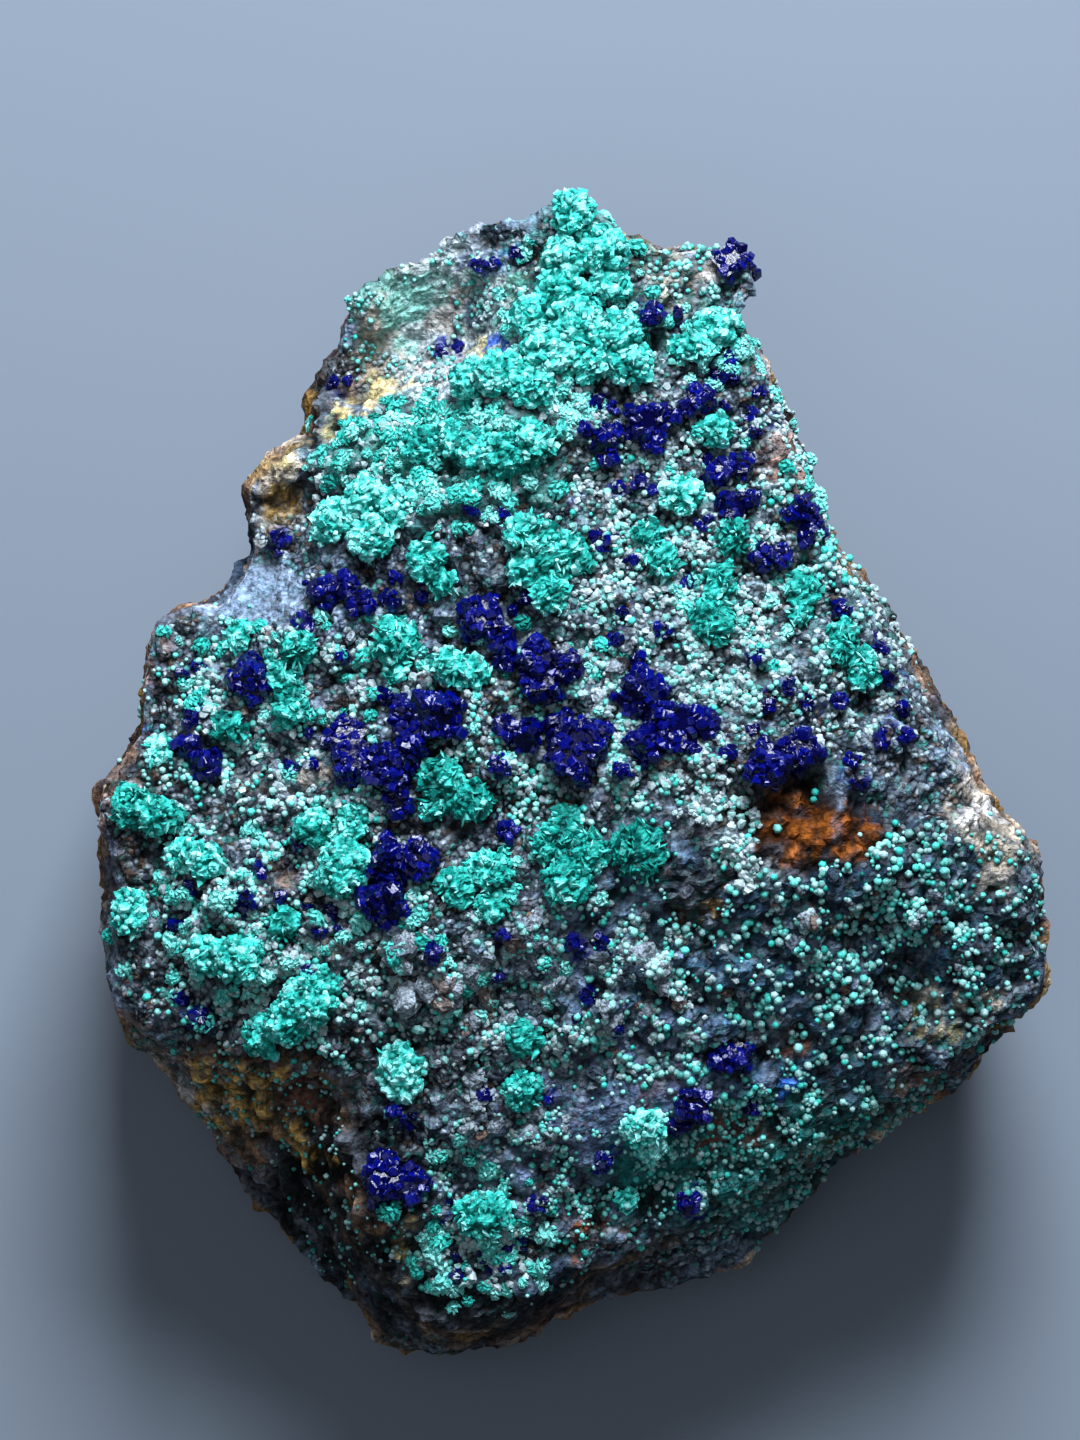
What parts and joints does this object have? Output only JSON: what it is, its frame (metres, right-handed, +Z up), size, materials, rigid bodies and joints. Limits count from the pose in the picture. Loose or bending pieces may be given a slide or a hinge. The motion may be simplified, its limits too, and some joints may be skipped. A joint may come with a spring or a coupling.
{
  "type": "azurite with malachite specimen",
  "caption": "Hand-sized rock whose face is grown over with dark blue azurite crystals and mint green malachite tufts, lying on its flat back.",
  "frame": {"origin": "middle of the specimen's base, on the surface it rests on", "axes": "+Z up out of the crystal face, +Y along the face to the peak, +X across it"},
  "size_m": [0.0776, 0.0952, 0.0364],
  "materials": {
    "rock": "rough iron-stained rock, dull",
    "azurite": "glassy crystal faces",
    "malachite": "silky, finely fibrous"
  },
  "bodies": {
    "root": {"azurite_bottom": "azurite", "azurite_centre": "azurite", "azurite_centre_left": "azurite", "azurite_centre_right": "azurite", "azurite_centre_small": "azurite", "azurite_corner": "azurite", "azurite_edge": "azurite", "azurite_far_left": "azurite", "azurite_left": "azurite", "azurite_lower_left": "azurite", "azurite_lower_right": "azurite", "azurite_middle": "azurite", "azurite_right": "azurite", "azurite_right_face": "azurite", "azurite_top_left": "azurite", "azurite_top_pair": "azurite", "azurite_top_right": "azurite", "azurite_upper_edge": "azurite", "azurite_upper_left": "azurite", "azurite_upper_middle": "azurite", "azurite_upper_right": "azurite", "azurite_upper_trio": "azurite", "malachite_bottom": "malachite", "malachite_bottom_right": "malachite", "malachite_centre_left": "malachite", "malachite_centre_plume": "malachite", "malachite_centre_rosette": "malachite", "malachite_crest": "malachite", "malachite_crown": "malachite", "malachite_dark_wedge": "malachite", "malachite_dome": "malachite", "malachite_edge_tuft": "malachite", "malachite_fan": "malachite", "malachite_far_left": "malachite", "malachite_left_dark": "malachite", "malachite_left_edge": "malachite", "malachite_left_lower": "malachite", "malachite_left_mint": "malachite", "malachite_left_of_centre": "malachite", "malachite_left_pair": "malachite", "malachite_left_top": "malachite", "malachite_left_trio": "malachite", "malachite_lower_button": "malachite", "malachite_lower_left_dark": "malachite", "malachite_lower_left_group": "malachite", "malachite_lower_left_pair": "malachite", "malachite_lower_right": "malachite", "malachite_middle_tuft": "malachite", "malachite_right_edge": "malachite", "malachite_right_slope": "malachite", "malachite_round": "malachite", "malachite_tall_plume": "malachite", "malachite_top_tuft": "malachite", "malachite_triangle": "malachite", "malachite_upper_button": "malachite", "malachite_upper_left": "malachite", "malachite_upper_left_rosette": "malachite", "malachite_upper_right": "malachite", "malachite_upper_tufts": "malachite", "rock_matrix": "rock"}
  },
  "joints": []
}
